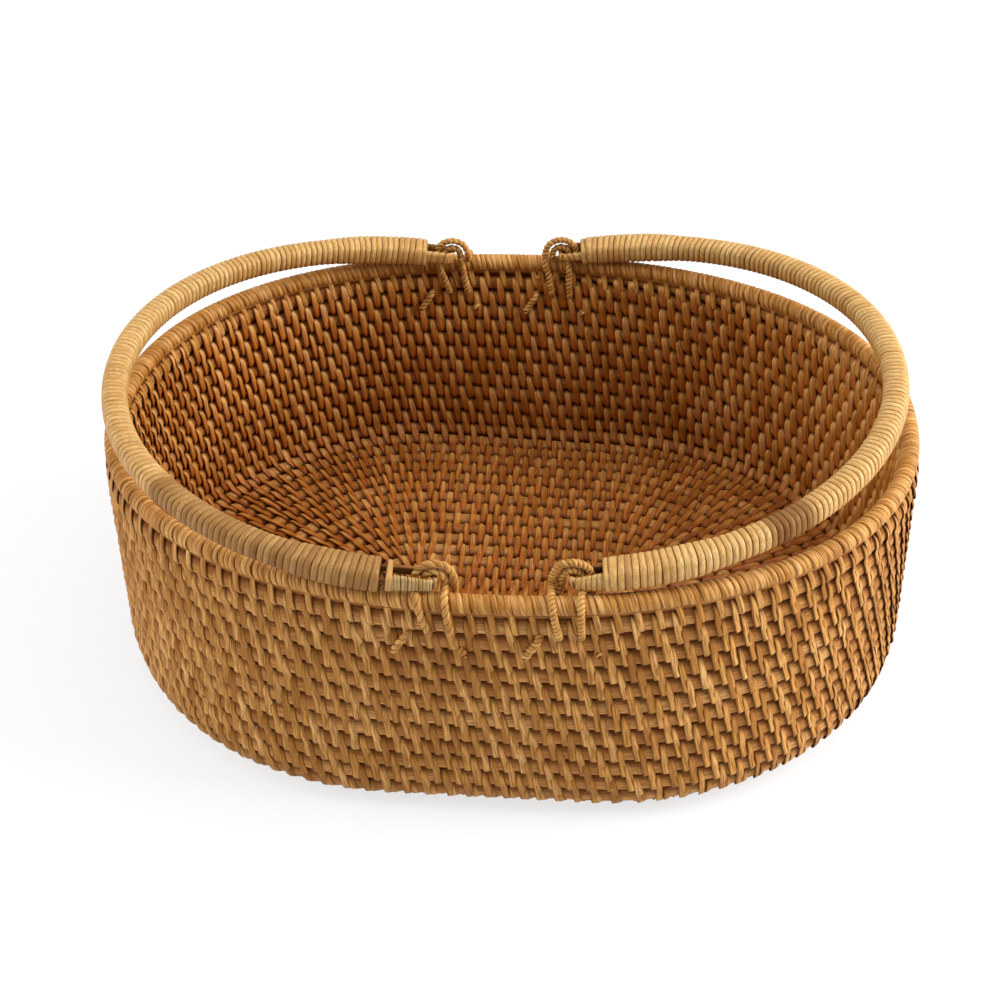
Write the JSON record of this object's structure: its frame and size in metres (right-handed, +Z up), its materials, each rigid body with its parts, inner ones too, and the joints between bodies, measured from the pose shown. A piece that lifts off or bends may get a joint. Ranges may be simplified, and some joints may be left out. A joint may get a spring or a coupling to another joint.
{
  "type": "rattan picnic basket",
  "caption": "Oval coiled rattan basket, open at the top, with a rod rim and two folding half-oval bail handles hinged in twisted cord ties.",
  "frame": {"origin": "centre of the basket's footprint on the flat underside of the coiled floor", "axes": "+X along the basket's length towards the right handle, +Y towards the back, +Z up through the open mouth"},
  "size_m": [0.36, 0.2806, 0.1424],
  "materials": {
    "wall_cane": "satin natural cane lashed with peel",
    "floor_cane": "satin natural cane, darker and more orange than the outside",
    "handle_peel": "smooth satin peel, pale straw",
    "eye_strip": "bare shaved cane, matt",
    "tie_cord": "two-strand twisted peel, satin"
  },
  "bodies": {
    "basket": {"coil_rod_1": "floor_cane", "coil_rod_2": "floor_cane", "coil_rod_3": "wall_cane", "coil_rod_4": "wall_cane", "coil_rod_5": "wall_cane", "coil_rod_6": "wall_cane", "rim_rod": "wall_cane", "tie_front_left": "tie_cord", "tie_back_left": "tie_cord", "tie_front_right": "tie_cord", "tie_back_right": "tie_cord"},
    "left_handle": {"left_grip_rod": "wall_cane", "left_grip_wrap": "handle_peel", "left_front_eye": "eye_strip", "left_front_lashing": "handle_peel", "left_back_eye": "eye_strip", "left_back_lashing": "handle_peel"},
    "right_handle": {"right_grip_rod": "wall_cane", "right_grip_wrap": "handle_peel", "right_front_eye": "eye_strip", "right_front_lashing": "handle_peel", "right_back_eye": "eye_strip", "right_back_lashing": "handle_peel"}
  },
  "joints": [
    {"name": "left_handle_hinge", "type": "hinge", "parent": "basket", "child": "left_handle", "pos_m": [-0.02892, -0.00212, 0.12012], "axis": [-0.0785, 0.9969, 0], "range_deg": [0, 91]},
    {"name": "right_handle_hinge", "type": "hinge", "parent": "basket", "child": "right_handle", "pos_m": [0.02492, 0.00212, 0.12012], "axis": [0.0785, -0.9969, 0], "range_deg": [0, 91]}
  ]
}
